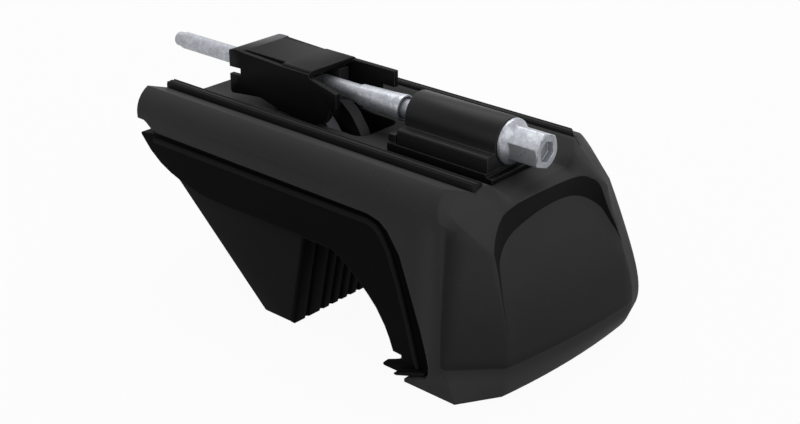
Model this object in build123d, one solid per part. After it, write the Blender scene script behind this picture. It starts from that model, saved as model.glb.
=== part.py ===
# Roof bar foot for a raised side rail, millimetres.
# The outlines are drawn from the clamp bolt: X runs from its tip towards its head, Y across, Z up from its axis.
# The finished pieces are then moved so that the origin is at the middle of the foot's underside.

import math
import os

from build123d import *

os.makedirs("parts", exist_ok=True)

# Overall
overall_length = 175.3
bolt_axis_height = 67.3
housing_width = 81.0
housing_wall = 2.6

# Clamp bolt
bolt_diameter = 6.0
bolt_tip_diameter = 5.0
bolt_tip_length = 3.0
flange_diameter = 14.2
flange_back = 148.6
flange_rim = 1.0
flange_cone = 2.2
head_across_flats = 10.0
head_end = 161.6
head_turn = 10.0
dimple_across_flats = 6.0
dimple_depth = 2.2
thread_clearance = 0.05
running_clearance = 0.08

# Retaining collar on the bolt
collar_start = 89.0
collar_end = 107.5
collar_rim_diameter = 8.5
collar_nose_diameter = 7.0
collar_split = 1.0

# T-block that holds the bolt in the bar's channel
block_start = 113.2
block_end = 148.4
block_crown_radius = 7.3
block_flange_half = 10.9
block_flange_top = -2.3
block_bottom = -7.1
block_edge = 0.5

# Seat under the block
seat_start = 109.7
seat_end = 150.8
seat_half = 11.6
seat_tab_length = 2.9
seat_tab_top = -4.4
seat_step = 1.1

# Slide bracket, folded from sheet
sheet = 1.8
bracket_half = 11.1
bracket_top = 7.56
bracket_left = 38.65
plate_left = 44.55
plate_right = 76.2
plate_dip = 0.7
bend_start = 63.6
bracket_gap = 0.7
near_tab_end = 88.0
far_tab_end = 94.4
notch_height = 2.4
notch_depth = 5.2

# Nut and fork
nut_start = 58.0
nut_end = 70.5
nut_bottom = -5.8
nut_clearance = 0.2
fork_thickness = 5.0
fork_half = 8.0
fork_slot_half = 3.5
fork_top = 4.6
fork_setback = 4.5
fork_bottom = -52.0
pin_diameter = 5.0
pin_drop = -40.0

# Tray of the housing
housing_left = 25.05
tray_floor = -10.0
tray_floor_half = 14.0
tray_side_top = -4.2
tray_side_half = 22.2
tray_thickness = 3.2
strip_shelf = 1.3
strip_width = 3.8
strip_top = -3.2
strip_seat = -7.4
strip_end = 156.6
strip_rib = 0.4
crest_inset = 5.2
crest_height = -2.5
far_shoulder_inset = 7.5
far_shoulder_height = -7.1
lip_height = -15.4
slot_start = 56.5
slot_end = 97.0
slot_half = 9.2
guide_half = 19.0
guide_bottom = -28.0
guide_thickness = 2.4
leg_web_thickness = 2.4

# Outer leg
leg_bottom = -66.3
band_height = -56.5

# Rubber boot
boot_gap = 0.3
boot_skin = 1.1
boot_lining = 4.0
boot_bead = 1.2
bead_round = 0.8
boot_ledge = 2.0

# Inner jaw
jaw_side_gap = 0.5
jaw_top = -30.0
jaw_bottom = -67.3
jaw_back_top = 36.0
jaw_back_bottom = 78.2
jaw_face_top = 99.2
jaw_face_bottom = 91.7
jaw_wall = 3.0
jaw_webs = 5
facing_thickness = 1.8
groove_pitch = 4.3
groove_count = 12
groove_radius = 0.8
end_groove = 30.4


half = housing_width / 2
inner_half = half - housing_wall
boot_half = inner_half - boot_gap
boot_inner = boot_half - boot_skin
jaw_half = boot_inner - jaw_side_gap
crest_half = half - crest_inset
far_shoulder_half = half - far_shoulder_inset
strip_centre = tray_side_half + strip_shelf + strip_width / 2
fork_leg_x = jaw_face_bottom - facing_thickness - fork_thickness - fork_setback


def prism_y(points, y_from, y_to):
    outline = Polyline(*[(x, y_from, z) for x, z in points], close=True)
    return extrude(make_face(outline), amount=y_to - y_from, dir=(0, 1, 0))


def prism_x(points, x_from, x_to):
    outline = Polyline(*[(x_from, y, z) for y, z in points], close=True)
    return extrude(make_face(outline), amount=x_to - x_from, dir=(1, 0, 0))


def block_between(x0, x1, y0, y1, z0, z1):
    return Pos((x0 + x1) / 2, (y0 + y1) / 2, (z0 + z1) / 2) * Box(x1 - x0, y1 - y0, z1 - z0)


def turned(points):
    # Solid of revolution about the bolt's axis from (x, radius) points.
    outline = Polyline(*[(x, 0, r) for x, r in points], close=True)
    return revolve(make_face(outline), axis=Axis.X)


def hexagon_bar(across_flats, x_from, x_to):
    radius = across_flats / math.sqrt(3)
    corners = []
    for k in range(6):
        angle = math.radians(head_turn + 30 + 60 * k)
        corners.append((radius * math.cos(angle), radius * math.sin(angle)))
    return prism_x(corners, x_from, x_to)


# Bolt
bolt_radius = bolt_diameter / 2
tip_radius = bolt_tip_diameter / 2
flange_radius = flange_diameter / 2
neck_radius = head_across_flats / 2
flange_front = flange_back + flange_rim
bolt_shank = turned(
    [
        (0, 0),
        (0, tip_radius - 0.4),
        (0.4, tip_radius),
        (bolt_tip_length, tip_radius),
        (bolt_tip_length + bolt_radius - tip_radius, bolt_radius),
        (flange_back, bolt_radius),
        (flange_back, flange_radius),
        (flange_front, flange_radius),
        (flange_front + flange_cone, neck_radius),
        (flange_front + flange_cone, 0),
    ]
)
head_corner = head_across_flats / math.sqrt(3)
head_chamfer = head_corner - neck_radius + 0.2
head_blank = turned(
    [
        (flange_front, 0),
        (flange_front, head_corner + 1),
        (head_end - head_chamfer * 0.6, head_corner),
        (head_end, neck_radius - 0.2),
        (head_end, 0),
    ]
)
head = hexagon_bar(head_across_flats, flange_front, head_end) & head_blank
dimple = hexagon_bar(dimple_across_flats, head_end - dimple_depth, head_end + 1)
bolt = bolt_shank + head - dimple

# Collar, swaged on the shank and split along one side
collar_bore = bolt_radius + thread_clearance
collar_rim = collar_rim_diameter / 2
collar_nose = collar_nose_diameter / 2
collar = turned(
    [
        (collar_start, collar_bore),
        (collar_start, collar_nose),
        (collar_end - 3.0, collar_rim - 0.2),
        (collar_end - 1.2, collar_rim),
        (collar_end, collar_rim),
        (collar_end, collar_rim - 0.7),
        (collar_end - 1.0, collar_bore + 0.3),
        (collar_end - 1.0, collar_bore),
    ]
)
collar -= block_between(collar_start - 1, collar_end + 1, -collar_split / 2, collar_split / 2, -collar_rim - 1, 0)

# T-block, an extrusion with a round crown over a flat flange
block_outline = (
    Polyline(
        (block_start, -block_crown_radius, 0),
        (block_start, -block_crown_radius, block_flange_top),
        (block_start, -block_flange_half + block_edge, block_flange_top),
        (block_start, -block_flange_half, block_flange_top - block_edge),
        (block_start, -block_flange_half, block_bottom),
        (block_start, block_flange_half, block_bottom),
        (block_start, block_flange_half, block_flange_top - block_edge),
        (block_start, block_flange_half - block_edge, block_flange_top),
        (block_start, block_crown_radius, block_flange_top),
        (block_start, block_crown_radius, 0),
    )
    + ThreePointArc(
        (block_start, block_crown_radius, 0),
        (block_start, 0, block_crown_radius),
        (block_start, -block_crown_radius, 0),
    )
)
t_block = extrude(make_face(block_outline), amount=block_end - block_start, dir=(1, 0, 0))
block_bore = bolt_radius + running_clearance
t_block -= turned([(block_start - 1, 0), (block_start - 1, block_bore), (block_end + 1, block_bore), (block_end + 1, 0)])

# Seat moulded to the block's underside, with an end tab that stops the block
block_seat = prism_y(
    [
        (seat_start, tray_floor),
        (seat_end, tray_floor),
        (seat_end, block_bottom - seat_step),
        (block_end, block_bottom - seat_step),
        (block_end, block_bottom),
        (seat_start + seat_tab_length, block_bottom),
        (seat_start + seat_tab_length, seat_tab_top),
        (seat_start, seat_tab_top),
    ],
    -seat_half,
    seat_half,
)
tab_trim = block_between(seat_start - 1, seat_start + seat_tab_length, -seat_half - 1, -block_flange_half, block_bottom, 0)
block_seat = block_seat - tab_trim - mirror(tab_trim, about=Plane.XZ)

# Slide bracket: top plate, two side flanges and the bends between them
plate_under = bracket_top - sheet
flange_inside = bracket_half - sheet
plate_half = flange_inside - bracket_gap
plate_outline = [
    (bracket_left, plate_under - plate_dip),
    (bracket_left + 1.2, plate_under - 0.2),
    (bracket_left + 3.0, plate_under),
    (plate_right, plate_under),
    (plate_right, bracket_top),
    (bracket_left + 3.0, bracket_top),
    (bracket_left + 1.2, bracket_top - 0.2),
    (bracket_left, bracket_top - plate_dip),
]
plate = prism_y(plate_outline, -plate_half, plate_half)
end_strip = prism_y(plate_outline, -bracket_half, bracket_half)
end_strip &= block_between(bracket_left - 1, plate_left, -bracket_half, bracket_half, 0, bracket_top + 1)
flange_top = bracket_top - 0.9
side_top = bracket_top - 2.3
lower_edge = [
    (near_tab_end, -2.1),
    (86.2, -2.4),
    (85.0, -3.6),
    (84.4, -6.2),
    (82.6, -8.4),
    (79.5, -9.4),
    (72.0, -9.6),
    (62.0, -8.8),
    (53.0, -6.6),
    (bracket_left + 0.8, -8.1),
    (bracket_left, -7.4),
]
notch_middle = -0.1
notch = [
    (bracket_left, notch_middle - notch_height / 2),
    (bracket_left + notch_depth, notch_middle - notch_height / 2 + 0.2),
    (bracket_left + notch_depth, notch_middle + notch_height / 2 + 0.2),
    (bracket_left, notch_middle + notch_height / 2),
]
near_edge = [
    (bracket_left, bracket_top - plate_dip - 0.4),
    (bracket_left + 1.2, bracket_top - 0.5),
    (plate_left, bracket_top - 0.3),
    (bend_start, flange_top),
    (plate_right, flange_top),
    (plate_right, side_top),
    (near_tab_end, 2.7),
]
near_flange = prism_y(near_edge + lower_edge + notch, -bracket_half, -flange_inside)
far_edge = [
    (bracket_left, bracket_top - plate_dip - 0.4),
    (bracket_left + 1.2, bracket_top - 0.5),
    (plate_left, bracket_top - 0.3),
    (bend_start, flange_top),
    (plate_right, flange_top),
    (far_tab_end, flange_top),
    (far_tab_end, 1.2),
    (near_tab_end, 1.2),
]
far_flange = prism_y(far_edge + lower_edge + notch, flange_inside, bracket_half)
bend_outline = (
    Polyline(
        (bend_start, -flange_inside + bracket_gap + 0.2, plate_under),
        (bend_start, -flange_inside + bracket_gap + 0.2, bracket_top),
        (bend_start, -bracket_half + sheet, bracket_top),
    )
    + ThreePointArc(
        (bend_start, -bracket_half + sheet, bracket_top),
        (bend_start, -bracket_half + sheet * 0.293, bracket_top - sheet * 0.293),
        (bend_start, -bracket_half, bracket_top - sheet),
    )
    + Polyline(
        (bend_start, -bracket_half, bracket_top - sheet),
        (bend_start, -bracket_half, bracket_top - sheet - 1.0),
        (bend_start, -flange_inside, bracket_top - sheet - 1.0),
        (bend_start, -flange_inside, plate_under),
        (bend_start, -flange_inside + bracket_gap + 0.2, plate_under),
    )
)
bend = extrude(make_face(bend_outline), amount=plate_right - bend_start, dir=(1, 0, 0))
bracket = plate + near_flange + far_flange + end_strip + bend + mirror(bend, about=Plane.XZ)

# Nut, a square block held between the flanges
nut_half = flange_inside - nut_clearance
clamp_nut = block_between(nut_start, nut_end, -nut_half, nut_half, nut_bottom, plate_under)
clamp_nut -= turned(
    [
        (nut_start - 1, 0),
        (nut_start - 1, bolt_radius + thread_clearance),
        (nut_end + 1, bolt_radius + thread_clearance),
        (nut_end + 1, 0),
    ]
)

# Fork: a thick strap that curves down through the tray's slot, its two arms astride the bolt
fork_front = nut_end + fork_thickness
leg_front = fork_leg_x + fork_thickness
fork_face = make_face(
    Polyline(
        (nut_end, -fork_half, fork_top),
        (fork_front, -fork_half, fork_top),
        (fork_front, -fork_half, -6.3),
    )
    + Spline(
        (fork_front, -fork_half, -6.3),
        (80.2, -fork_half, -9.6),
        (82.6, -fork_half, -12.6),
        (leg_front, -fork_half, -20.0),
        tangents=[(0.85, 0, -0.5), (0, 0, -1)],
    )
    + Polyline(
        (leg_front, -fork_half, -20.0),
        (leg_front, -fork_half, fork_bottom),
        (fork_leg_x, -fork_half, fork_bottom),
        (fork_leg_x, -fork_half, -21.0),
    )
    + Spline(
        (fork_leg_x, -fork_half, -21.0),
        (78.2, -fork_half, -15.4),
        (75.2, -fork_half, -12.4),
        (nut_end, -fork_half, -8.2),
        tangents=[(0, 0, 1), (-0.7, 0, 0.7)],
    )
    + Polyline((nut_end, -fork_half, -8.2), (nut_end, -fork_half, fork_top))
)
jaw_fork = extrude(fork_face, amount=2 * fork_half, dir=(0, 1, 0))
jaw_fork -= block_between(nut_end - 1, leg_front + 1, -fork_slot_half, fork_slot_half, -24.0, fork_top + 1)
boss_wall = jaw_wall + 0.6
pin_start = fork_leg_x - boss_wall
pin_end = leg_front + boss_wall
pin_shape = turned([(pin_start, 0), (pin_start, pin_diameter / 2), (pin_end, pin_diameter / 2), (pin_end, 0)])
jaw_pin = Pos(0, 0, pin_drop) * pin_shape
jaw_fork -= jaw_pin

# Inner jaw: a moulded wedge, open at its sloping back between webs, with a boss for the fork
jaw_outline = [
    (jaw_back_bottom, jaw_bottom),
    (jaw_face_bottom - facing_thickness, jaw_bottom),
    (jaw_face_top - facing_thickness, jaw_top),
    (jaw_back_top, jaw_top),
]
inner_jaw = prism_y(jaw_outline, -jaw_half, jaw_half)
pocket_outline = [
    (jaw_back_bottom - 1.0, jaw_bottom + 4.5),
    (jaw_face_bottom - facing_thickness - jaw_wall - 1.2, jaw_bottom + 4.5),
    (jaw_face_top - facing_thickness - jaw_wall - 1.6, jaw_top - jaw_wall),
    (jaw_back_top + 4.5, jaw_top - jaw_wall),
    (jaw_back_top - 14.0, jaw_top - jaw_wall - 6.0),
    (jaw_back_bottom - 30.0, jaw_bottom - 6.0),
]
bay = (2 * jaw_half - jaw_wall) / (jaw_webs - 1)
for k in range(jaw_webs - 1):
    bay_start = -jaw_half + jaw_wall + k * bay
    inner_jaw -= prism_y(pocket_outline, bay_start, bay_start + bay - jaw_wall)
boss_half = fork_half + boss_wall
boss = block_between(pin_start, pin_end, -boss_half, boss_half, fork_bottom - boss_wall, jaw_top)
inner_jaw += boss & prism_y(jaw_outline, -jaw_half, jaw_half)
fork_socket = block_between(fork_leg_x, leg_front, -fork_half, fork_half, fork_bottom, jaw_top + 1)
inner_jaw = inner_jaw - fork_socket - jaw_pin

# Ribbed rubber facing on the jaw
facing_outline = [
    (jaw_face_bottom - facing_thickness, jaw_bottom),
    (jaw_face_bottom, jaw_bottom),
    (jaw_face_top, jaw_top),
    (jaw_face_top - facing_thickness, jaw_top),
]
jaw_facing = prism_y(facing_outline, -jaw_half, jaw_half)
face_run = jaw_face_top - jaw_face_bottom
face_rise = jaw_top - jaw_bottom
face_length = math.hypot(face_run, face_rise)
face_tilt = math.degrees(math.atan2(face_run, face_rise))
groove_places = [groove_pitch * (k - (groove_count - 1) / 2) for k in range(groove_count)]
for y in groove_places + [-end_groove, end_groove]:
    groove = Rot(0, face_tilt, 0) * Cylinder(groove_radius, face_length + 6)
    jaw_facing -= Pos((jaw_face_top + jaw_face_bottom) / 2, y, (jaw_top + jaw_bottom) / 2) * groove

# Housing: outer skin of the tray, drawn as its cross section
near_skin = (
    Polyline((housing_left, -half, lip_height - 60), (housing_left, -half, -11.8))
    + ThreePointArc(
        (housing_left, -half, -11.8),
        (housing_left, -half + 1.4, -5.8),
        (housing_left, -crest_half, crest_height),
    )
    + Polyline(
        (housing_left, -crest_half, crest_height),
        (housing_left, -strip_centre - strip_width / 2, crest_height - 2.8),
        (housing_left, -strip_centre - strip_width / 2, strip_seat),
        (housing_left, -strip_centre + strip_width / 2, strip_seat),
        (housing_left, -strip_centre + strip_width / 2, tray_side_top),
        (housing_left, -tray_side_half, tray_side_top),
        (housing_left, -tray_floor_half, tray_floor),
        (housing_left, tray_floor_half, tray_floor),
        (housing_left, tray_side_half, tray_side_top),
        (housing_left, strip_centre - strip_width / 2, tray_side_top),
        (housing_left, strip_centre - strip_width / 2, strip_seat),
        (housing_left, strip_centre + strip_width / 2, strip_seat),
        (housing_left, strip_centre + strip_width / 2, crest_height - 2.8),
        (housing_left, far_shoulder_half, far_shoulder_height),
    )
    + ThreePointArc(
        (housing_left, far_shoulder_half, far_shoulder_height),
        (housing_left, half - 2.3, -9.9),
        (housing_left, half, -14.0),
    )
    + Polyline(
        (housing_left, half, -14.0),
        (housing_left, half, lip_height - 60),
        (housing_left, -half, lip_height - 60),
    )
)
skin_length = overall_length - housing_left + 10
skin = extrude(make_face(near_skin), amount=skin_length, dir=(1, 0, 0))
groove_plug = [
    (strip_centre - strip_width / 2, strip_seat),
    (strip_centre - strip_width / 2, tray_side_top),
    (strip_centre + strip_width / 2, crest_height - 2.8),
    (strip_centre + strip_width / 2, strip_seat),
]
plug = prism_x(groove_plug, strip_end, housing_left + skin_length)
skin = skin + plug + mirror(plug, about=Plane.XZ)

# Outer leg: plan outlines at its levels, from the near corner round the bulged end to the far corner
leg_root = 110.0


def leg_wire(z, near_x, crease_x, middle_x, far_crease_x, far_x, inset=0.0, drop=0.0):
    y_near = -half + inset
    y_far = half - inset
    a = (near_x - drop, y_near, z)
    b = (crease_x - drop, -28.0 + inset * 0.6, z)
    c = (middle_x - drop, 4.0, z)
    d = (far_crease_x - drop, 30.0 - inset * 0.6, z)
    e = (far_x - drop, y_far, z)
    f = (leg_root, y_far, z)
    g = (leg_root, y_near, z)
    return Wire([Line(a, b), ThreePointArc(b, c, d), Line(d, e), Line(e, f), Line(f, g), Line(g, a)])


leg_levels = [
    (leg_bottom, 161.6, 169.2, 172.2, 171.6, 168.0),
    (-62.0, 159.8, 170.0, 174.0, 174.2, 170.6),
    (band_height, 158.0, 170.4, 174.6, 175.3, 171.2),
    (-40.0, 155.9, 168.4, 171.0, 171.0, 166.0),
    (-20.0, 155.2, 163.7, 165.6, 163.6, 156.2),
    (-10.0, 155.2, 163.5, 164.8, 161.2, 150.2),
    (2.0, 155.2, 163.3, 164.0, 158.0, 142.0),
]
leg = Solid.make_loft([leg_wire(*level) for level in leg_levels], ruled=False)

# Recessed panel in the leg's end: its surface leans out and meets the leg's own near the bottom
panel_levels = [
    (leg_bottom, 162.4, 170.0, 173.2, 172.6, 169.0),
    (-62.0, 160.6, 170.8, 174.9, 175.1, 171.6),
    (band_height, 158.8, 170.9, 175.2, 176.0, 172.2),
    (-40.0, 156.3, 168.0, 170.4, 171.0, 167.0),
    (-20.0, 154.4, 160.6, 162.0, 161.4, 157.2),
    (2.0, 154.0, 153.6, 154.6, 153.0, 142.0),
]
panel = Solid.make_loft([leg_wire(*level) for level in panel_levels], ruled=False)
panel_plane = Plane(origin=(161.0, 0, -18.3), x_dir=(0, 1, 0), z_dir=(0.945, 0, 0.327))
# Foot of the recess's wall in the panel's plane, and its upper edge with its height over that plane
wall_foot = [
    (-28.0, -42.0),
    (-28.0, -28.0),
    (-24.2, -8.2),
    (-18.0, -2.5),
    (-10.5, -0.9),
    (-0.4, 0.0),
    (6.5, -0.1),
    (15.8, -1.8),
    (21.6, -4.7),
    (26.8, -9.9),
    (31.5, -28.0),
    (31.5, -42.0),
]
wall_edge = [
    (-30.0, -42.0, 1.0),
    (-30.0, -28.0, 1.0),
    (-26.4, -5.4, 1.3),
    (-21.8, 4.6, 2.7),
    (-14.3, 6.2, 3.1),
    (-5.2, 6.5, 3.2),
    (5.5, 5.9, 3.0),
    (15.0, 4.8, 2.7),
    (22.6, 2.0, 2.4),
    (27.6, -4.3, 2.7),
    (33.5, -28.0, 1.6),
    (33.5, -42.0, 1.6),
]


def wall_ring(height):
    ring = []
    for (foot_y, foot_t), (edge_y, edge_t, edge_height) in zip(wall_foot, wall_edge):
        share = height / edge_height
        ring.append((foot_y + share * (edge_y - foot_y), foot_t + share * (edge_t - foot_t), height))
    arch_points = ring[2:-2]
    edges = [
        Line(ring[0], ring[1]),
        Line(ring[1], ring[2]),
        Spline(arch_points),
        Line(ring[-3], ring[-2]),
        Line(ring[-2], ring[-1]),
        Line(ring[-1], ring[0]),
    ]
    return panel_plane * Wire(edges)


recess = Solid.make_loft([wall_ring(-1.2), wall_ring(7.0)], ruled=True) - panel
leg -= recess

# Outer form of the housing: the tray's section, closed by the leg's plan outlines
trunk = block_between(housing_left, leg_root + 5, -half - 1, half + 1, -80, 10)
housing = skin & (leg + trunk)
toe_x = 142.3
toe_top = -65.2
lip_outline = [
    (housing_left - 1, -80.0),
    (housing_left - 1, -12.3),
    (28.2, -12.4),
    (29.4, -13.0),
    (31.8, -14.7),
    (34.2, lip_height),
    (128.0, lip_height - 0.3),
    (132.6, -16.7),
    (135.7, -18.9),
    (140.3, -25.2),
    (144.1, -35.2),
    (148.3, -46.6),
    (150.8, -54.7),
    (151.5, -57.7),
    (151.5, -59.8),
    (150.6, -62.3),
    (toe_x, toe_top),
    (toe_x, -80.0),
]
housing -= prism_y(lip_outline, -half - 1, half + 1)
housing -= block_between(137, overall_length + 10, -half - 1, half + 1, -80, leg_bottom)
cutter = Pos(0, 0, 50) * Box(240, 240, 100)
near_facet = Plane(origin=(157.0, -tray_side_half, -3.2), z_dir=(0.88, -0.255, 0.40)) * cutter
far_facet = Plane(origin=(154.0, tray_side_half + 1.8, -3.5), z_dir=(0.64, 0.52, 0.57)) * cutter
far_slope = Plane(origin=(157.6, tray_side_half - 2.6, -6.0), z_dir=(0.792, 0.249, 0.557)) * cutter
# Slope from the end of the tray down to the brow over the panel, drawn as the tray's end and the slope's foot
slope_start = 158.4
slope_foot = 163.0
tray_end_profile = [
    (-30.0, 3.0),
    (-tray_side_half, tray_side_top),
    (-tray_floor_half, tray_floor),
    (-4.7, tray_floor),
    (5.2, tray_floor),
    (tray_floor_half, tray_floor),
    (tray_side_half, tray_side_top),
    (30.0, 3.0),
]
slope_foot_profile = [
    (-30.0, -14.0),
    (-tray_side_half, -16.0),
    (-tray_floor_half, -11.9),
    (-4.7, -11.8),
    (5.2, -12.3),
    (tray_floor_half, -13.4),
    (tray_side_half, -16.5),
    (30.0, -16.0),
]


def slope_ring(x):
    share = (x - slope_start) / (slope_foot - slope_start)
    pairs = zip(tray_end_profile, slope_foot_profile)
    lower = [(x, start[0], start[1] + share * (foot[1] - start[1])) for start, foot in pairs]
    return Wire(Polyline(*lower, (x, 30.0, 12.0), (x, -30.0, 12.0), close=True).edges())


tray_slope = Solid.make_loft([slope_ring(slope_start), slope_ring(slope_foot + 1.5)], ruled=True)
housing = housing - near_facet - far_facet - far_slope - tray_slope

# Hollow of the housing, under the tray and behind the leg's end
roof = tray_floor - tray_thickness
roof_outline = [
    (-inner_half, -90.0),
    (-inner_half, -12.6),
    (-crest_half - 0.6, -6.6),
    (-29.4, -8.6),
    (-28.6, strip_seat - housing_wall),
    (-tray_side_half + 0.6, strip_seat - housing_wall),
    (-tray_floor_half - 1.6, roof),
    (tray_floor_half + 1.6, roof),
    (tray_side_half - 0.6, strip_seat - housing_wall),
    (29.4, strip_seat - housing_wall),
    (35.4, -12.4),
    (inner_half, -16.5),
    (inner_half, -90.0),
]
under = prism_x(roof_outline, housing_left + housing_wall, overall_length)
hollow_end = Solid.make_loft([leg_wire(*level, inset=housing_wall, drop=4.6) for level in panel_levels], ruled=False)
hollow_trunk = block_between(housing_left + housing_wall, leg_root + 5, -inner_half, inner_half, -80, 0)
floor_cut = block_between(0, 200, -50, 50, -90, leg_bottom + housing_wall)
facet_skin = Pos(0, 0, 50 - housing_wall) * Box(240, 240, 100)
near_skin_cut = Plane(origin=(157.0, -tray_side_half, -3.2), z_dir=(0.88, -0.255, 0.40)) * facet_skin
far_skin_cut = Plane(origin=(154.0, tray_side_half + 1.8, -3.5), z_dir=(0.64, 0.52, 0.57)) * facet_skin
slope_skin_cut = Plane(origin=(157.6, tray_side_half - 2.6, -6.0), z_dir=(0.792, 0.249, 0.557)) * facet_skin
hollow = (under & (hollow_end + hollow_trunk)) - floor_cut - near_skin_cut - far_skin_cut - slope_skin_cut
housing -= hollow
fork_slot = block_between(slot_start, slot_end, -slot_half, slot_half, roof - 1, tray_floor + 1)
fork_slot = fillet(fork_slot.edges().filter_by(Axis.Z), 4.0)
housing -= fork_slot

# Rubber boot: two skirts, the lining of the leg's inner side with its hook, and the nose
arch = [
    (112.8, -34.9),
    (116.5, -37.2),
    (120.6, -40.2),
    (125.0, -43.9),
    (128.6, -47.5),
    (132.0, -52.4),
    (133.8, -56.0),
    (135.3, -59.8),
    (138.6, -60.0),
]
hook = [
    (138.6, -61.2),
    (136.6, -62.4),
    (132.5, -64.1),
    (131.2, -65.5),
    (131.6, -66.1),
    (138.8, -66.1),
    (149.0, -62.4),
]
boot_wall_x = 110.5
boot_top = roof
lining_outline = (
    [(boot_wall_x, boot_top), (boot_wall_x, -34.0)]
    + arch
    + [
        (138.6, -65.4),
        (147.8, -62.0),
        (147.0, -58.0),
        (142.6, -57.0),
        (139.0, -51.4),
        (134.6, -44.4),
        (128.0, -37.8),
        (119.0, -31.4),
        (boot_wall_x + boot_lining, -28.6),
        (boot_wall_x + boot_lining, boot_top),
    ]
)
rubber_boot = prism_y(lining_outline, -boot_inner, boot_inner)
skirt_outline = (
    [
        (31.4, -14.6),
        (30.4, -17.9),
        (22.6, -18.9),
        (22.8, -19.7),
        (27.0, -24.2),
        (31.8, -27.6),
        (36.7, -29.8),
        (42.1, -31.5),
        (50.0, -33.4),
        (58.0, -34.0),
        (boot_wall_x, -34.0),
    ]
    + arch
    + hook
    + [
        (151.4, -60.4),
        (152.0, -55.6),
        (149.4, -46.9),
        (145.5, -35.2),
        (141.6, -24.6),
        (136.8, -17.7),
        (133.0, -15.3),
        (128.0, -14.0),
    ]
)
near_skirt = prism_y(skirt_outline, -boot_half, -boot_inner)
rubber_boot = rubber_boot + near_skirt + mirror(near_skirt, about=Plane.XZ)
nose_outline = [
    (31.2, boot_top),
    (housing_left + housing_wall, boot_top),
    (housing_left + housing_wall, -18.3),
    (22.6, -18.9),
    (22.8, -19.7),
    (27.0, -24.2),
    (31.8, -27.6),
    (33.6, -25.0),
    (31.2, -22.8),
]
rubber_boot += prism_y(nose_outline, -boot_inner, boot_inner)
bead_outline = [
    (29.4, -17.9),
    (126.8, -17.9),
    (130.0, -18.8),
    (132.4, -20.8),
    (135.8, -26.4),
    (139.6, -36.6),
    (143.6, -49.4),
    (146.0, -58.0),
    (146.9, -61.0),
    (146.2, -62.4),
    (144.7, -62.0),
    (143.2, -58.8),
    (141.0, -50.4),
    (137.0, -37.6),
    (133.2, -27.6),
    (130.2, -23.2),
    (128.2, -21.6),
    (126.0, -20.9),
    (29.4, -20.9),
]
bead = prism_y(bead_outline, -boot_half - boot_bead, -boot_half)
bead = chamfer(bead.faces().sort_by(Axis.Y)[0].edges(), bead_round)
rubber_boot = rubber_boot + bead + mirror(bead, about=Plane.XZ)
rubber_boot -= block_between(130, 160, -50, 50, -80, leg_bottom + 0.2)
ledge_outline = [(137.4, -65.6), (149.0, -61.4), (149.4, -62.2), (138.4, -66.1), (137.4, -66.1)]
ledge = prism_y(ledge_outline, -boot_half - boot_ledge, -boot_half)
rubber_boot = rubber_boot + ledge + mirror(ledge, about=Plane.XZ)
far_relief = [(35.4, -12.4), (inner_half, -16.5), (inner_half + 1, -16.5), (inner_half + 1, -12.0)]
rubber_boot -= prism_x(far_relief, 20, 160)

# Webs inside the housing: two guide rails under the tray and three webs in the leg
webs = block_between(33.0, boot_wall_x, guide_half, guide_half + guide_thickness, guide_bottom, 0)
webs += mirror(webs, about=Plane.XZ)
for y in (-guide_half, 0.0, guide_half):
    webs += block_between(boot_wall_x, 185.0, y - leg_web_thickness / 2, y + leg_web_thickness / 2, -80, 0)
webs = (webs & hollow) - rubber_boot
lining_back = [
    (boot_wall_x - 1, -34.0),
    (boot_wall_x - 1, -90.0),
    (149.0, -90.0),
    (149.3, -61.0),
    (147.0, -58.0),
    (142.6, -57.0),
    (139.0, -51.4),
    (134.6, -44.4),
    (128.0, -37.8),
    (119.0, -31.4),
    (boot_wall_x + boot_lining, -28.6),
    (boot_wall_x + boot_lining, -34.0),
]
webs -= prism_y(lining_back, -50, 50)
housing += webs

# Rubber strips that the bar rests on
strip_half = strip_width / 2
strip_profile = [
    (strip_centre - strip_half, strip_seat),
    (strip_centre + strip_half, strip_seat),
    (strip_centre + strip_half, strip_top - 1.0),
    (strip_centre + 1.6, strip_top),
    (strip_centre + 1.25, strip_top),
    (strip_centre + 1.1, strip_top - strip_rib),
    (strip_centre + 0.8, strip_top - strip_rib),
    (strip_centre + 0.65, strip_top),
    (strip_centre - 0.65, strip_top),
    (strip_centre - 0.8, strip_top - strip_rib),
    (strip_centre - 1.1, strip_top - strip_rib),
    (strip_centre - 1.25, strip_top),
    (strip_centre - 1.6, strip_top),
    (strip_centre - strip_half, strip_top - 1.0),
]
far_strip = prism_x(strip_profile, housing_left, strip_end)
far_strip = far_strip - far_facet - far_slope
near_strip = prism_x([(-y, z) for y, z in strip_profile], housing_left, strip_end)
near_strip -= near_facet

pieces = {
    "housing": housing,
    "rubber_boot": rubber_boot,
    "bar_strip_near": near_strip,
    "bar_strip_far": far_strip,
    "block_seat": block_seat,
    "t_block": t_block,
    "clamp_bolt": bolt,
    "bolt_collar": collar,
    "slide_bracket": bracket,
    "clamp_nut": clamp_nut,
    "jaw_fork": jaw_fork,
    "jaw_pin": jaw_pin,
    "inner_jaw": inner_jaw,
    "jaw_facing": jaw_facing,
}
to_origin = Pos(-overall_length / 2, 0, bolt_axis_height)
for name, piece in pieces.items():
    export_step(to_origin * piece, f"parts/{name}.step")
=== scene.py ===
# Roof bar foot: finishes, softened edges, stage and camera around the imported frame.
# Every length is in metres, in the frame of the CAD model.

import math

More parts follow.
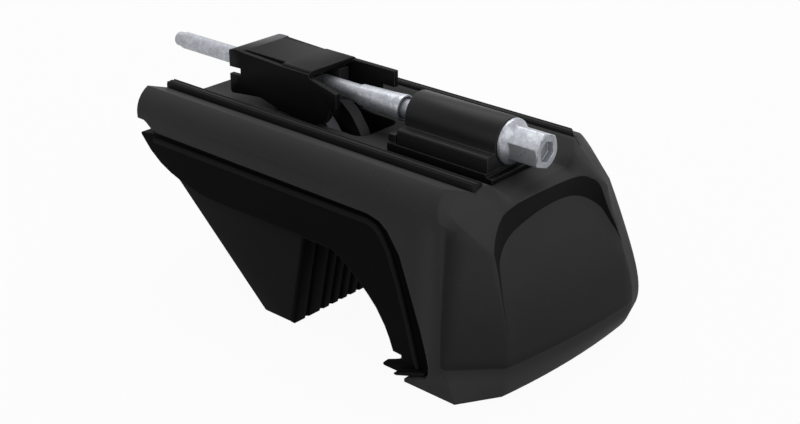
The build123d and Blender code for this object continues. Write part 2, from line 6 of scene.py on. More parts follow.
import bpy
from bpy.props import FloatProperty, FloatVectorProperty, IntProperty, PointerProperty
from bpy.types import Operator, Panel, PropertyGroup
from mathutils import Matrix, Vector


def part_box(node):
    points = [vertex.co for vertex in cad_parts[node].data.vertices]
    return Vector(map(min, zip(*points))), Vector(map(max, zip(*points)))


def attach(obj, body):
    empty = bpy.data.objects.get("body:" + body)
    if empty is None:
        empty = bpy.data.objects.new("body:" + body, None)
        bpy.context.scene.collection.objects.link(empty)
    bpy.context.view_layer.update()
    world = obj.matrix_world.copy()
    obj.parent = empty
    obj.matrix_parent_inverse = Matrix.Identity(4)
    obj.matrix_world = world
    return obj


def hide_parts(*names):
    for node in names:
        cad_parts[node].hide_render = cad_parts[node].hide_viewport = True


bl_info = {
    "name": "Roof bar foot",
    "version": (1, 0, 0),
    "blender": (4, 5, 0),
    "location": "View3D > Sidebar > Bar foot",
    "description": "Dresses the clamp foot of a roof bar: mouldings, rubber, bolt, bracket and jaw",
    "category": "Object",
}

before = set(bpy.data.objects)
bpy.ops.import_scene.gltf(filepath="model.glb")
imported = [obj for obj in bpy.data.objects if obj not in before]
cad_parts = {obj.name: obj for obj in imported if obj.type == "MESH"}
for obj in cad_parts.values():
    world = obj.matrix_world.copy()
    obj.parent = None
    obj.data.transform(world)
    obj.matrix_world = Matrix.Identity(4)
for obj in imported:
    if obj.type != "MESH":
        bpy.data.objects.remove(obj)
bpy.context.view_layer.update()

WHITE = (1.0, 1.0, 1.0, 1.0)

# Axes of the frame
OUTBOARD = (1.0, 0.0, 0.0)
ACROSS = (0.0, 1.0, 0.0)
UP = (0.0, 0.0, 1.0)

# Mesh work on the copies of the CAD nodes
MERGE_DISTANCE = 0.000002
FLAT_TURN = math.radians(0.4)
SHARP_TURN = math.radians(28.0)
SMOOTH_TURN = math.radians(40.0)
STRIP_EDGE = 0.6
COLLAR_EDGE = 0.5

# How much rounder than the mesh the shading shows the edges of a piece
BOOT_ROUNDING = 2.6
STRIP_ROUNDING = 0.5
JAW_ROUNDING = 0.8
BLOCK_ROUNDING = 1.3

# Plane of the recessed panel in the leg's end, and the arched wall round it, the brow, whose faces
# get painted shade:
# how far the wall stands out of the plane, how far it runs along it and how wide it is
PANEL_OUT = (0.945, 0.0, 0.327)
PANEL_UP = (-0.327, 0.0, 0.945)
PANEL_PLACE = (0.07335, 0.0, 0.0490)
ARCH_MIDDLE = -0.014
BROW_MARK = "brow"
BROW_DEPTH = (-0.0014, 0.0045)
BROW_RISE = (-0.045, 0.009)
BROW_HALF_WIDTH = 0.036
BROW_TURN = 0.2

# Each pair from here on bounds a smooth step, over which a mask grows or fades.
# Leg's end, the crease between its set-back face and the border along its toe and sides,
# with painted light on the border, painted shade in the crease and painted shade that fades upwards
# from it
LEG_REACH = (0.058, 0.064)
LEG_TOP = (0.050, 0.058)
CREASE_HEIGHT = 0.0110
CREASE_PLACE = 0.0684
BORDER_FADE = (-0.0050, 0.0)
CREASE_RISE = (-0.0003, 0.0003)
CREASE_FADE = (0.0003, 0.0042)
LOW_RISE = (0.0, 0.004)
LOW_FADE = (0.012, 0.046)

# Painted light on the facets and the end face under the tray, by the way they face
HIGH_RISE = (0.020, 0.060)
FACET_AXIS = (0.877, -0.254, 0.399)
FACET_TURN = (0.980, 0.995)
END_AXIS = (0.866, 0.0, 0.5)
END_TURN = (0.80, 0.95)

# Painted shadow on the tray's floor beyond the bolt, and a patch of painted shade behind the bolt's
# head in place of a hollow
SHADE_INBOARD = (-0.030, -0.024)
SHADE_OUTBOARD = (0.026, 0.030)
SHADE_NEAR = (-0.006, -0.002)
SHADE_FAR = (0.0136, 0.0144)
SHADE_UNDER = (0.050, 0.054)
SHADE_OVER = (0.0588, 0.0600)
BOWL_PLACE = (0.0700, 0.0150, 0.0580)
BOWL_FADE = (0.0004, 0.0050)

# Raised bead along the boot's two skirts, which stands furthest from the middle and is painted
# lighter as a highlight
BOOT_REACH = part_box("rubber_boot")[1][1]
BEAD_RISE = (BOOT_REACH - 0.0013, BOOT_REACH - 0.0007)

# Bolt's flange and head, the end face of the head and the recess in it, where painted shade darkens
# the zinc
BOLT_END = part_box("clamp_bolt")[1][0]
FLANGE_RISE = (BOLT_END - 0.019, BOLT_END - 0.012)
HEAD_RISE = (BOLT_END - 0.005, BOLT_END - 0.004)
HEAD_TURN = (0.80, 0.95)
RECESS_FADE = (BOLT_END - 0.00075, BOLT_END - 0.00025)

# Painted highlight on the bracket's dipped inboard end, brighter on the far side
BRACKET_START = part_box("slide_bracket")[0][0]
DIP_START = (BRACKET_START + 0.0001, BRACKET_START + 0.0005)
DIP_FADE = (BRACKET_START + 0.0058, BRACKET_START + 0.0064)
DIP_ACROSS = (-0.012, 0.008)
DIP_TURN = (0.60, 0.80)

# Painted light on the outboard faces of the fork, under the bolt
LIT_FRONT_TURN = (0.20, 0.45)
LIT_FRONT_FADE = (0.0600, 0.0660)

# Levels at which the noise patterns turn into separate spots and patches
SPECK_LEVELS = (0.66, 0.72)
DUST_LEVELS = (0.68, 0.74)
BLOOM_LEVELS = (0.35, 0.75)
MOTTLE_LEVELS = (0.34, 0.70)

# Stretches that draw a pattern out into lines
STRIP_DRAW = (0.03, 1.0, 1.0)
BLOCK_DRAW = (0.02, 1.0, 1.0)
JAW_FLOW = (1.0, 1.0, 0.25)
JAW_GRAIN = 1.25

# Lamps, each with its place, its size and the setting that holds its power
LAMP_TARGET = (0.0, 0.0, 0.04)
LAMPS = (
    ("key_lamp", (-0.25, 0.35, 0.95), (1.0, 0.8), "key_power"),
    ("fill_lamp", (0.90, -0.25, 0.60), (0.6, 0.6), "fill_power"),
    ("side_lamp", (-0.05, -0.95, 0.34), (0.7, 0.4), "side_power"),
)
# Share of the floor that shows as white; the rest stays matt and takes the object's shadow
FLOOR_WHITE = 0.95
SENSOR_WIDTH = 36.0
CLIP_START = 0.01


# Node maths


class Value:
    """One output socket of a material, usable in ordinary arithmetic."""

    def __init__(self, graph, socket):
        self.graph = graph
        self.socket = socket

    def __add__(self, other):
        return self.graph.math("ADD", self, other)

    def __radd__(self, other):
        return self.graph.math("ADD", other, self)

    def __sub__(self, other):
        return self.graph.math("SUBTRACT", self, other)

    def __rsub__(self, other):
        return self.graph.math("SUBTRACT", other, self)

    def __mul__(self, other):
        return self.graph.math("MULTIPLY", self, other)

    def __rmul__(self, other):
        return self.graph.math("MULTIPLY", other, self)

    def clamped(self):
        return self.graph.math("ADD", self, 0.0, clamp=True)

    def above(self, low, high):
        """0 under low, 1 over high and a smooth step between them."""
        return self.graph.node(
            "ShaderNodeMapRange",
            {"interpolation_type": "SMOOTHSTEP"},
            {"Value": self, "From Min": low, "From Max": high},
        )

    def below(self, low, high):
        """1 under low, 0 over high and a smooth step between them."""
        return 1.0 - self.above(low, high)


class Graph:
    """The node tree of one material or world, filled by one node-making method."""

    def __init__(self, owner):
        owner.use_nodes = True
        self.tree = owner.node_tree
        self.tree.nodes.clear()

    def node(self, kind, options=None, inputs=None, output=0):
        """Add a node with its options, values and links, and give one of its outputs."""
        made = self.tree.nodes.new(kind)
        for name, option in (options or {}).items():
            setattr(made, name, option)
        for name, given in (inputs or {}).items():
            if isinstance(given, Value):
                self.tree.links.new(given.socket, made.inputs[name])
            else:
                made.inputs[name].default_value = given
        return Value(self, made.outputs[output]) if made.outputs else None

    def math(self, operation, *operands, clamp=False):
        inputs = dict(enumerate(operands))
        return self.node("ShaderNodeMath", {"operation": operation, "use_clamp": clamp}, inputs)

    def vector_math(self, operation, first, second):
        inputs = {0: first, 1: second}
        return self.node("ShaderNodeVectorMath", {"operation": operation}, inputs, output="Value")

    def along(self, vector, axis):
        """How far a place or a direction reaches along an axis."""
        return self.vector_math("DOT_PRODUCT", vector, axis)

    def object_place(self):
        return self.node("ShaderNodeTexCoord", output="Object")

    def stretched(self, place, scale):
        inputs = {"Vector": place, "Scale": scale}
        return self.node("ShaderNodeMapping", {"vector_type": "POINT"}, inputs)

    def noise(self, place, scale, detail=3.0, roughness=0.5, distortion=0.0):
        inputs = {
            "Vector": place,
            "Scale": scale,
            "Detail": detail,
            "Roughness": roughness,
            "Distortion": distortion,
        }
        return self.node("ShaderNodeTexNoise", {"noise_dimensions": "3D"}, inputs)

    def cells(self, place, size):
        """A grain of cells of one size."""
        inputs = {"Vector": place, "Scale": 1.0 / size}
        return self.node("ShaderNodeTexVoronoi", {"feature": "F1"}, inputs)

    def rounded(self, radius):
        """Surface direction with the sharp edges rounded to a radius."""
        return self.node("ShaderNodeBevel", {"samples": 6}, {"Radius": radius})

    def edge_highlight(self, rounded, low=0.01, high=0.12):
        """1 along the rounded edges and 0 on the flats, for painted highlights along the edges."""
        flat = self.node("ShaderNodeNewGeometry", output="Normal")
        return (1.0 - self.along(rounded, flat)).above(low, high)

    def bump(self, height, strength, distance, normal):
        inputs = {"Height": height, "Strength": strength, "Distance": distance, "Normal": normal}
        return self.node("ShaderNodeBump", {}, inputs)

    def blend(self, share, first, second):
        inputs = {"Factor": share, 6: first, 7: second}
        return self.node("ShaderNodeMix", {"data_type": "RGBA"}, inputs, output=2)

    def clouded(self, cloud, base, darkest, lightest):
        """A base colour that wanders between two levels of itself."""
        return self.blend(cloud, colour(base, darkest), colour(base, lightest))

    def tinted(self, tone, base, layers):
        """Lay masks over a tone, each as (mask, its share, how many times the base colour)."""
        for mask, share, lighter in layers:
            tone = self.blend(mask * share, tone, colour(base, lighter))
        return tone

    def surface(self, tone, roughness, specular, normal, metallic=0.0):
        inputs = {
            "Base Color": tone,
            "Roughness": roughness,
            "Specular IOR Level": specular,
            "Normal": normal,
            "Metallic": metallic,
        }
        shader = self.node("ShaderNodeBsdfPrincipled", {}, inputs)
        self.node("ShaderNodeOutputMaterial", {}, {"Surface": shader})

    def white_share(self):
        """1 for what the camera, metal and glass see, and 0 for the light on the object."""
        seen = self.node("ShaderNodeLightPath", output="Is Camera Ray")
        mirrored = self.node("ShaderNodeLightPath", output="Is Glossy Ray")
        through = self.node("ShaderNodeLightPath", output="Is Transmission Ray")
        return (seen + mirrored + through).clamped()


def colour(rgb, lighter=1.0):
    return tuple(min(1.0, channel * lighter) for channel in rgb) + (1.0,)


# Sizes and colours that a user would change


class HousingSettings(PropertyGroup):
    edge_radius: FloatProperty(
        name="Edge radius",
        description="Radius along the housing's moulded edges",
        default=0.0007,
        min=0.0,
        subtype="DISTANCE",
        unit="LENGTH",
    )
    plastic: FloatVectorProperty(
        name="Plastic",
        description="Colour of the housing",
        default=(0.0285, 0.0285, 0.029),
        size=3,
        subtype="COLOR",
    )
    jaw_plastic: FloatVectorProperty(
        name="Jaw plastic",
        description="Colour of the jaw",
        default=(0.009, 0.009, 0.0093),
        size=3,
        subtype="COLOR",
    )
    seat_plastic: FloatVectorProperty(
        name="Seat plastic",
        description="Colour of the seat under the block",
        default=(0.006, 0.006, 0.0062),
        size=3,
        subtype="COLOR",
    )
    grain_size: FloatProperty(
        name="Grain",
        description="Spacing of the fine grain on the mouldings",
        default=0.0005,
        subtype="DISTANCE",
        unit="LENGTH",
    )


class RubberSettings(PropertyGroup):
    edge_radius: FloatProperty(
        name="Edge radius",
        description="Radius along the edges of the rubber pieces",
        default=0.0004,
        min=0.0,
        subtype="DISTANCE",
        unit="LENGTH",
    )
    rubber: FloatVectorProperty(
        name="Rubber",
        description="Colour of the boot and the jaw's facing",
        default=(0.0012, 0.0012, 0.00122),
        size=3,
        subtype="COLOR",
    )
    strip: FloatVectorProperty(
        name="Strip",
        description="Colour of the strips under the bar",
        default=(0.0115, 0.0115, 0.0119),
        size=3,
        subtype="COLOR",
    )


class MetalSettings(PropertyGroup):
    edge_radius: FloatProperty(
        name="Edge radius",
        description="Radius along the edges of the metal pieces and the block's seat",
        default=0.0003,
        min=0.0,
        subtype="DISTANCE",
        unit="LENGTH",
    )
    zinc_light: FloatVectorProperty(
        name="Zinc, light",
        description="Lighter patches of the bolt's plating",
        default=(0.48, 0.495, 0.53),
        size=3,
        subtype="COLOR",
    )
    zinc_dark: FloatVectorProperty(
        name="Zinc, dark",
        description="Darker patches of the bolt's plating",
        default=(0.30, 0.315, 0.345),
        size=3,
        subtype="COLOR",
    )
    coating: FloatVectorProperty(
        name="Coating",
        description="Black coating of the bracket, nut and fork",
        default=(0.0060, 0.0060, 0.0064),
        size=3,
        subtype="COLOR",
    )
    anodised: FloatVectorProperty(
        name="Anodised",
        description="Colour of the block in the bar's channel",
        default=(0.0140, 0.0140, 0.0147),
        size=3,
        subtype="COLOR",
    )


class StageSettings(PropertyGroup):
    azimuth: FloatProperty(
        name="Azimuth",
        description="Turn of the camera round the foot",
        default=math.radians(41.42),
        subtype="ANGLE",
        unit="ROTATION",
    )
    elevation: FloatProperty(
        name="Elevation",
        description="How far the camera looks down",
        default=math.radians(24.78),
        subtype="ANGLE",
        unit="ROTATION",
    )
    camera_place: FloatVectorProperty(
        name="Camera",
        description="Where the camera stands",
        default=(0.29037, -0.30951, 0.22150),
        size=3,
        subtype="TRANSLATION",
        unit="LENGTH",
    )
    lens: FloatProperty(
        name="Lens",
        description="Focal length in millimetres",
        default=63.32,
    )
    floor_size: FloatProperty(
        name="Floor",
        description="Side of the square floor",
        default=8.0,
        subtype="DISTANCE",
        unit="LENGTH",
    )
    floor_colour: FloatVectorProperty(
        name="Floor colour",
        description="Colour of the pale floor",
        default=(0.50, 0.50, 0.50),
        size=3,
        subtype="COLOR",
    )
    key_power: FloatProperty(
        name="Key light",
        description="Power of the large lamp overhead in watts",
        default=9.6,
    )
    fill_power: FloatProperty(
        name="Fill light",
        description="Power of the lamp that lights the leg's end in watts",
        default=3.5,
    )
    side_power: FloatProperty(
        name="Side light",
        description="Power of the low lamp that lights the near side in watts",
        default=1.3,
    )
    world_level: FloatProperty(
        name="Room",
        description="Level of the even light from all sides",
        default=0.34,
    )


class FootSettings(PropertyGroup):
    housing: PointerProperty(type=HousingSettings)
    rubber: PointerProperty(type=RubberSettings)
    metal: PointerProperty(type=MetalSettings)
    stage: PointerProperty(type=StageSettings)
    bevel_steps: IntProperty(
        name="Edge steps",
        description="Facets across each rounded edge",
        default=2,
        min=1,
        max=4,
    )


def settings():
    return bpy.context.scene.bar_foot


# Materials


def moulded_plastic(graph, place):
    """Black plastic with a fine grain and specks, painted highlights on its edges, painted light on
    the leg's border, facets and end, and painted shade in the brow, the crease, low on the leg, on
    the tray's floor and behind the bolt's head.
    """
    housing = settings().housing
    base = tuple(housing.plastic)
    rounded = graph.rounded(housing.edge_radius)
    outward, across, upward = (graph.along(place, axis) for axis in (OUTBOARD, ACROSS, UP))
    grain = graph.cells(place, housing.grain_size)
    cloud = graph.noise(place, scale=45.0, detail=4.0)
    specks = graph.noise(place, scale=900.0, detail=2.0).above(*SPECK_LEVELS)
    # Painted shade on the marked faces of the brow
    brow = graph.node("ShaderNodeAttribute", {"attribute_name": BROW_MARK}, output="Fac")

    # Painted light on the leg's border, and painted shade in the crease and low on the leg
    leg = outward.above(*LEG_REACH) * upward.below(*LEG_TOP)
    inside = graph.math("MINIMUM", upward - CREASE_HEIGHT, outward - CREASE_PLACE)
    border = inside.below(*BORDER_FADE) * leg
    crease_shade = inside.above(*CREASE_RISE) * inside.below(*CREASE_FADE) * leg
    low = inside.above(*LOW_RISE) * upward.below(*LOW_FADE)
    high = upward.above(*HIGH_RISE)
    # Painted light on the facets and the end face, chosen by the way they face
    lit_facet = graph.along(rounded, FACET_AXIS).above(*FACET_TURN) * high
    end = graph.along(rounded, END_AXIS).above(*END_TURN) * high
    # Painted shadow on the tray's floor, and painted shade behind the bolt's head
    shade = outward.above(*SHADE_INBOARD) * outward.below(*SHADE_OUTBOARD)
    shade = shade * across.above(*SHADE_NEAR) * across.below(*SHADE_FAR)
    shade = shade * upward.above(*SHADE_UNDER) * upward.below(*SHADE_OVER)
    bowl_shade = graph.vector_math("DISTANCE", place, BOWL_PLACE).below(*BOWL_FADE)

    layers = (
        (specks, 0.14, 2.4),
        (graph.edge_highlight(rounded), 0.15, 1.9),
        (border, 0.30, 2.0),
        (low, 0.42, 0.3),
        (crease_shade, 0.60, 0.2),
        (lit_facet + end * 0.8, 0.25, 2.0),
        (brow, 1.0, 0.10),
        (shade, 0.85, 0.05),
        (bowl_shade, 0.45, 0.1),
    )
    pits = grain * 0.5 + graph.noise(place, scale=1400.0, detail=1.0) * 0.5
    raised = graph.bump(border, strength=1.0, distance=0.0010, normal=rounded)
    graph.surface(
        tone=graph.tinted(graph.clouded(cloud, base, darkest=0.92, lightest=1.10), base, layers),
        roughness=0.50 + cloud * 0.10 + grain * 0.05,
        specular=0.04,
        normal=graph.bump(pits, strength=0.16, distance=0.00008, normal=raised),
    )


def matt_rubber(graph, place, darker, highlight_share):
    """Matt black rubber with a soft bloom, with painted highlights along its edges and its beads."""
    rubber = settings().rubber
    base = tuple(channel * darker for channel in rubber.rubber)
    rounded = graph.rounded(rubber.edge_radius * BOOT_ROUNDING)
    bloom = graph.noise(place, scale=70.0, detail=5.0, roughness=0.6)
    pores = graph.noise(place, scale=2200.0, detail=1.0)
    reach = graph.math("ABSOLUTE", graph.along(place, ACROSS))
    # Painted highlights along the edges and on the bead
    layers = (
        (graph.edge_highlight(rounded, low=0.004, high=0.16), highlight_share, 8.0),
        (reach.above(*BEAD_RISE), highlight_share, 9.5),
    )
    tone = graph.clouded(bloom.above(*BLOOM_LEVELS), base, darkest=0.85, lightest=1.4)
    graph.surface(
        tone=graph.tinted(tone, base, layers),
        roughness=0.58 + bloom * 0.16,
        specular=0.02,
        normal=graph.bump(pores, strength=0.12, distance=0.00006, normal=rounded),
    )


def boot_rubber(graph, place):
    matt_rubber(graph, place, darker=1.0, highlight_share=1.0)


def facing_rubber(graph, place):
    matt_rubber(graph, place, darker=0.5, highlight_share=0.15)


def strip_rubber(graph, place):
    """Satin black rubber of the strips, with fine lines drawn along them."""
    rubber = settings().rubber
    rounded = graph.rounded(rubber.edge_radius * STRIP_ROUNDING)
    lines = graph.noise(graph.stretched(place, STRIP_DRAW), scale=1800.0, detail=2.0)
    cloud = graph.noise(place, scale=60.0)
    mixed = lines * 0.5 + cloud * 0.5
    graph.surface(
        tone=graph.clouded(mixed, tuple(rubber.strip), darkest=0.75, lightest=1.3),
        roughness=0.50 + cloud * 0.12,
        specular=0.04,
        normal=graph.bump(lines, strength=0.10, distance=0.00005, normal=rounded),
    )


def jaw_plastic(graph, place):
    """Smooth matt plastic of the jaw, with faint flow marks down its side and painted highlights
    along its edges.
    """
    housing = settings().housing
    base = tuple(housing.jaw_plastic)
    rounded = graph.rounded(housing.edge_radius * JAW_ROUNDING)
    stretched = graph.stretched(place, JAW_FLOW)
    flow = graph.noise(stretched, scale=90.0, detail=4.0, distortion=0.4)
    grain = graph.cells(place, housing.grain_size * JAW_GRAIN)
    tone = graph.clouded(flow, base, darkest=0.85, lightest=1.2)
    graph.surface(
        tone=graph.tinted(tone, base, ((graph.edge_highlight(rounded), 0.5, 2.2),)),
        roughness=0.55 + flow * 0.12,
        specular=0.03,
        normal=graph.bump(grain, strength=0.10, distance=0.00006, normal=rounded),
    )


def seat_plastic(graph, place):
    """Satin black plastic of the seat under the block, with painted highlights along its edges."""
    base = tuple(settings().housing.seat_plastic)
    rounded = graph.rounded(settings().metal.edge_radius)
    cloud = graph.noise(place, scale=80.0)
    pores = graph.noise(place, scale=1500.0, detail=1.0)
    tone = graph.clouded(cloud, base, darkest=0.8, lightest=1.2)
    graph.surface(
        tone=graph.tinted(tone, base, ((graph.edge_highlight(rounded, high=0.10), 1.0, 14.0),)),
        roughness=0.38 + cloud * 0.10,
        specular=0.06,
        normal=graph.bump(pores, strength=0.08, distance=0.00005, normal=rounded),
    )


def black_aluminium(graph, place):
    """Black anodised extrusion with fine draw lines along the bolt and painted highlights along its
    edges.
    """
    metal = settings().metal
    base = tuple(metal.anodised)
    rounded = graph.rounded(metal.edge_radius * BLOCK_ROUNDING)
    lines = graph.noise(graph.stretched(place, BLOCK_DRAW), scale=2600.0, roughness=0.6)
    cloud = graph.noise(place, scale=60.0)
    tone = graph.clouded(lines * 0.6 + cloud * 0.4, base, darkest=0.7, lightest=1.4)
    graph.surface(
        tone=graph.tinted(tone, base, ((graph.edge_highlight(rounded, high=0.10), 0.9, 6.5),)),
        roughness=0.30 + lines * 0.10 + cloud * 0.06,
        specular=0.075,
        normal=graph.bump(lines, strength=0.10, distance=0.00004, normal=rounded),
    )


def zinc_steel(graph, place):
    """Blue-white zinc plating, mottled in small patches, with painted shade towards the head's end,
    on its end face and in its recess.
    """
    metal = settings().metal
    dark, light = tuple(metal.zinc_dark), tuple(metal.zinc_light)
    rounded = graph.rounded(metal.edge_radius)
    patches = graph.noise(place, scale=520.0, detail=4.0, roughness=0.62, distortion=0.6)
    fine = graph.noise(place, scale=1500.0, detail=2.0)
    mottle = (patches * 0.65 + fine * 0.35).above(*MOTTLE_LEVELS)
    outward = graph.along(place, OUTBOARD)
    end = graph.along(rounded, OUTBOARD).above(*HEAD_TURN) * outward.above(*HEAD_RISE)
    recess = end * outward.below(*RECESS_FADE)
    # Painted shade on the flange, the head's end face and its recess
    shade = outward.above(*FLANGE_RISE) * 0.15 + end * 0.22 + recess * 0.35
    tone = graph.blend(mottle, colour(dark), colour(light))
    graph.surface(
        tone=graph.tinted(tone, dark, ((shade, 1.0, 0.45),)),
        roughness=0.46 - mottle * 0.08,
        specular=0.3,
        normal=graph.bump(patches, strength=0.10, distance=0.00006, normal=rounded),
        metallic=0.70,
    )


def coated_steel(graph, place, lighter, front_light, edge_light):
    """Semi-gloss black coating with dust specks, painted light on its outboard faces, a painted
    highlight on its dipped end and painted highlights along its edges.
    """
    metal = settings().metal
    base = tuple(metal.coating)
    rounded = graph.rounded(metal.edge_radius)
    outward, across, upward = (graph.along(place, axis) for axis in (OUTBOARD, ACROSS, UP))
    orange_peel = graph.noise(place, scale=700.0, detail=2.0)
    cloud = graph.noise(place, scale=55.0, detail=4.0)
    dust = graph.noise(place, scale=1300.0, detail=1.0).above(*DUST_LEVELS)
    # Painted highlight on the bracket's dipped end
    dip_highlight = outward.above(*DIP_START) * outward.below(*DIP_FADE) * across.above(*DIP_ACROSS)
    dip_highlight = dip_highlight * graph.along(rounded, UP).above(*DIP_TURN)
    # Painted light on the faces that look outboard
    lit_front = graph.along(rounded, OUTBOARD).above(*LIT_FRONT_TURN) * upward.below(*LIT_FRONT_FADE)
    layers = (
        (dust, 0.15, 4.0 * lighter),
        (dip_highlight, 0.8, 16.0),
        (lit_front, front_light, 14.0),
        (graph.edge_highlight(rounded), edge_light, 15.0),
    )
    tone = graph.clouded(cloud, base, darkest=0.8 * lighter, lightest=1.3 * lighter)
    graph.surface(
        tone=graph.tinted(tone, base, layers),
        roughness=0.36 + cloud * 0.10,
        specular=0.035,
        normal=graph.bump(orange_peel, strength=0.12, distance=0.00006, normal=rounded),
    )


def black_steel(graph, place):
    coated_steel(graph, place, lighter=1.0, front_light=0.0, edge_light=1.0)


def fork_steel(graph, place):
    coated_steel(graph, place, lighter=3.0, front_light=1.0, edge_light=0.5)


# Finishes by the record's slots, and two of their own for pieces that share a slot
FINISHES = {
    "housing_plastic": ("grained_moulding", moulded_plastic),
    "jaw_plastic": ("smooth_moulding", jaw_plastic),
    "boot_rubber": ("matt_rubber", boot_rubber),
    "facing": ("ribbed_rubber", facing_rubber),
    "strip_rubber": ("ridged_rubber", strip_rubber),
    "seat_plastic": ("satin_moulding", seat_plastic),
    "black_aluminium": ("anodised_extrusion", black_aluminium),
    "zinc_steel": ("mottled_zinc", zinc_steel),
    "black_steel": ("coated_pressing", black_steel),
    "fork": ("worn_strap", fork_steel),
}


def finish(kind):
    """The material of one kind of piece, made the first time that it is asked for."""
    name, fill = FINISHES[kind]
    material = bpy.data.materials.get(name)
    if material is None:
        material = bpy.data.materials.new(name)
        graph = Graph(material)
        fill(graph, graph.object_place())
    return material


# Making pieces


def select_only(piece):
    bpy.ops.object.select_all(action="DESELECT")
    piece.select_set(True)
    bpy.context.view_layer.objects.active = piece


def softened(node, name, slot, body, radius, kind=None):
    """A merged copy of a CAD node that stands for it, with a small radius along its edges."""
    piece = bpy.data.objects.new(name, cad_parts[node].data.copy())
    bpy.context.collection.objects.link(piece)
    select_only(piece)
    bpy.ops.mesh.customdata_custom_splitnormals_clear()
    bpy.ops.object.mode_set(mode="EDIT")
    bpy.ops.mesh.select_all(action="SELECT")
    bpy.ops.mesh.remove_doubles(threshold=MERGE_DISTANCE)
    bpy.ops.mesh.dissolve_limited(angle_limit=FLAT_TURN)
    bpy.ops.mesh.normals_make_consistent(inside=False)
    bpy.ops.object.mode_set(mode="OBJECT")
    edge = piece.modifiers.new("rounded edges", "BEVEL")
    edge.width = radius
    edge.segments = settings().bevel_steps
    edge.limit_method = "ANGLE"
    edge.angle_limit = SHARP_TURN
    edge.use_clamp_overlap = True
    bpy.ops.object.modifier_apply(modifier=edge.name)
    bpy.ops.object.shade_smooth_by_angle(angle=SMOOTH_TURN)
    piece.data.materials.clear()
    piece.data.materials.append(finish(kind or slot))
    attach(piece, body)
    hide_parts(node)
    return piece


def mark_brow(piece):
    """Mark the faces of the arched wall over the panel that look towards its middle, for painted
    shade.
    """
    mark = piece.data.attributes.new(BROW_MARK, "FLOAT", "FACE")
    out, up, middle = Vector(PANEL_OUT), Vector(PANEL_UP), Vector(PANEL_PLACE)
    for face in piece.data.polygons:
        place = face.center - middle
        rise, height = place.dot(up), place.dot(out)
        inward = Vector((-place.y, min(0.0, ARCH_MIDDLE - rise))).normalized()
        turn = Vector((face.normal.y, face.normal.dot(up))).dot(inward)
        on_wall = BROW_DEPTH[0] < height < BROW_DEPTH[1] and BROW_RISE[0] < rise < BROW_RISE[1]
        in_width = abs(place.y) < BROW_HALF_WIDTH
        mark.data[face.index].value = float(on_wall and in_width and turn > BROW_TURN)


class BARFOOT_OT_housing(Operator):
    """Make the housing's moulding, with the tray, the leg and its recessed end panel"""

    bl_idname = "barfoot.housing"
    bl_label = "Housing"

    def execute(self, context):
        radius = settings().housing.edge_radius
        mark_brow(softened("housing", "housing_moulding", "housing_plastic", "foot", radius))
        return {"FINISHED"}


class BARFOOT_OT_rubber(Operator):
    """Make the rubber boot and the two strips that the bar rests on"""

    bl_idname = "barfoot.rubber"
    bl_label = "Boot and strips"

    def execute(self, context):
        radius = settings().rubber.edge_radius
        softened("rubber_boot", "boot_moulding", "boot_rubber", "foot", radius)
        softened("bar_strip_near", "near_strip", "strip_rubber", "foot", radius * STRIP_EDGE)
        softened("bar_strip_far", "far_strip", "strip_rubber", "foot", radius * STRIP_EDGE)
        return {"FINISHED"}


class BARFOOT_OT_channel_block(Operator):
    """Make the block for the bar's channel and its seat"""

    bl_idname = "barfoot.channel_block"
    bl_label = "Channel block"

    def execute(self, context):
        radius = settings().metal.edge_radius
        softened("t_block", "channel_block", "black_aluminium", "foot", radius)
        softened("block_seat", "seat_moulding", "seat_plastic", "foot", radius)
        return {"FINISHED"}


class BARFOOT_OT_bolt(Operator):
    """Make the clamp bolt and its collar"""

    bl_idname = "barfoot.bolt"
    bl_label = "Clamp bolt"

    def execute(self, context):
        radius = settings().metal.edge_radius
        softened("clamp_bolt", "zinc_bolt", "zinc_steel", "bolt", radius)
        softened("bolt_collar", "zinc_collar", "zinc_steel", "bolt", radius * COLLAR_EDGE)
        return {"FINISHED"}


class BARFOOT_OT_bracket(Operator):
    """Make the slide bracket, its nut and the fork that reaches down to the jaw"""

    bl_idname = "barfoot.bracket"
    bl_label = "Bracket and fork"

    def execute(self, context):
        radius = settings().metal.edge_radius
        softened("slide_bracket", "bracket_pressing", "black_steel", "jaw_carriage", radius)
        softened("clamp_nut", "nut_block", "black_steel", "jaw_carriage", radius)
        softened("jaw_fork", "fork_strap", "black_steel", "jaw_carriage", radius, kind="fork")
        softened("jaw_pin", "fork_pin", "zinc_steel", "jaw_carriage", radius)
        return {"FINISHED"}


class BARFOOT_OT_jaw(Operator):
    """Make the inner jaw and its ribbed facing"""

    bl_idname = "barfoot.jaw"
    bl_label = "Inner jaw"

    def execute(self, context):
        radius = settings().housing.edge_radius
        softened("inner_jaw", "jaw_moulding", "jaw_plastic", "jaw_carriage", radius)
        radius = settings().rubber.edge_radius
        softened("jaw_facing", "ribbed_facing", "boot_rubber", "jaw_carriage", radius, kind="facing")
        return {"FINISHED"}


# Stage


def pale_floor_material():
    """Pale floor that the camera sees as white, with the object's shadow kept."""
    material = bpy.data.materials.new("pale_floor")
    graph = Graph(material)
    floor_colour = colour(settings().stage.floor_colour)
    matt = graph.node("ShaderNodeBsdfDiffuse", {}, {"Color": floor_colour})
    white = graph.node("ShaderNodeEmission", {}, {"Color": WHITE, "Strength": 1.0})
    share = graph.white_share() * FLOOR_WHITE
    mixed = graph.node("ShaderNodeMixShader", {}, {0: share, 1: matt, 2: white})
    graph.node("ShaderNodeOutputMaterial", {}, {"Surface": mixed})
    return material


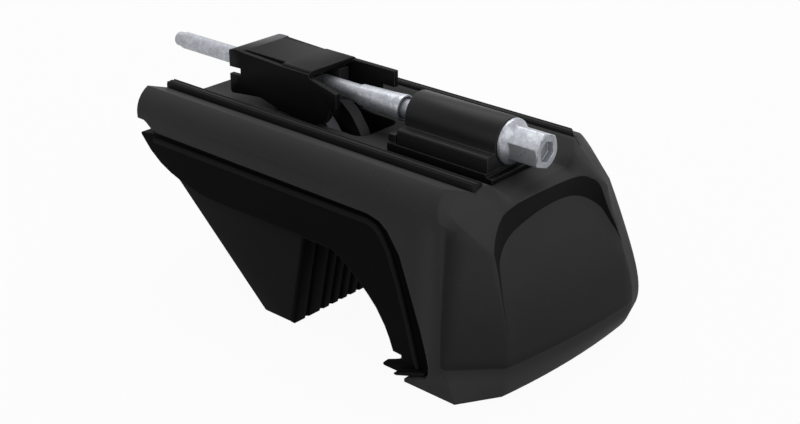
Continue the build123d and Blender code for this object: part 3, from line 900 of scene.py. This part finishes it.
def white_room():
    """World that lights the object evenly and that the camera sees as white."""
    world = bpy.data.worlds.new("white_room")
    bpy.context.scene.world = world
    graph = Graph(world)
    level = settings().stage.world_level
    room = graph.node("ShaderNodeBackground", {}, {"Color": WHITE, "Strength": level})
    white = graph.node("ShaderNodeBackground", {}, {"Color": WHITE, "Strength": 1.0})
    mixed = graph.node("ShaderNodeMixShader", {}, {0: graph.white_share(), 1: room, 2: white})
    graph.node("ShaderNodeOutputWorld", {}, {"Surface": mixed})


def soft_lamp(name, place, size, power):
    bpy.ops.object.light_add(type="AREA", location=place)
    lamp = bpy.context.object
    lamp.name = name
    lamp.data.shape = "RECTANGLE"
    lamp.data.size, lamp.data.size_y = size
    lamp.data.energy = power
    aim = Vector(LAMP_TARGET) - Vector(place)
    lamp.rotation_euler = aim.to_track_quat("-Z", "Y").to_euler()


class BARFOOT_OT_stage(Operator):
    """Make the floor, the soft lamps and the camera"""

    bl_idname = "barfoot.stage"
    bl_label = "Stage"

    def execute(self, context):
        stage = settings().stage
        bpy.ops.object.select_all(action="DESELECT")
        bpy.ops.mesh.primitive_plane_add(size=stage.floor_size, location=(0.0, 0.0, 0.0))
        floor = bpy.context.object
        floor.name = "pale_floor"
        floor.data.materials.append(pale_floor_material())
        white_room()
        for name, place, size, power in LAMPS:
            soft_lamp(name, place, size, getattr(stage, power))
        bpy.ops.object.camera_add(location=stage.camera_place)
        camera = bpy.context.object
        camera.name = "photo_camera"
        camera.rotation_euler = (math.pi / 2 - stage.elevation, 0.0, stage.azimuth)
        camera.data.lens = stage.lens
        camera.data.sensor_width = SENSOR_WIDTH
        camera.data.sensor_fit = "HORIZONTAL"
        camera.data.clip_start = CLIP_START
        context.scene.camera = camera
        context.scene.view_settings.view_transform = "Standard"
        return {"FINISHED"}


class BARFOOT_PT_panel(Panel):
    """The foot's settings, and its stage and pieces in the order in which they are made"""

    bl_idname = "BARFOOT_PT_panel"
    bl_label = "Roof bar foot"
    bl_space_type = "VIEW_3D"
    bl_region_type = "UI"
    bl_category = "Bar foot"

    def draw(self, context):
        chosen = context.scene.bar_foot
        for group in (chosen.housing, chosen.rubber, chosen.metal, chosen.stage):
            box = self.layout.box()
            for name in group.__annotations__:
                box.prop(group, name)
        self.layout.prop(chosen, "bevel_steps")
        for step in STEPS:
            self.layout.operator(step.bl_idname)


SETTINGS = (HousingSettings, RubberSettings, MetalSettings, StageSettings, FootSettings)
STEPS = (
    BARFOOT_OT_stage,
    BARFOOT_OT_housing,
    BARFOOT_OT_rubber,
    BARFOOT_OT_channel_block,
    BARFOOT_OT_bolt,
    BARFOOT_OT_bracket,
    BARFOOT_OT_jaw,
)
CLASSES = SETTINGS + STEPS + (BARFOOT_PT_panel,)


def register():
    for entry in CLASSES:
        bpy.utils.register_class(entry)
    bpy.types.Scene.bar_foot = PointerProperty(type=FootSettings)


def unregister():
    del bpy.types.Scene.bar_foot
    for entry in reversed(CLASSES):
        bpy.utils.unregister_class(entry)


def main():
    register()
    for step in STEPS:
        group, name = step.bl_idname.split(".")
        getattr(getattr(bpy.ops, group), name)()


if __name__ == "__main__":
    main()
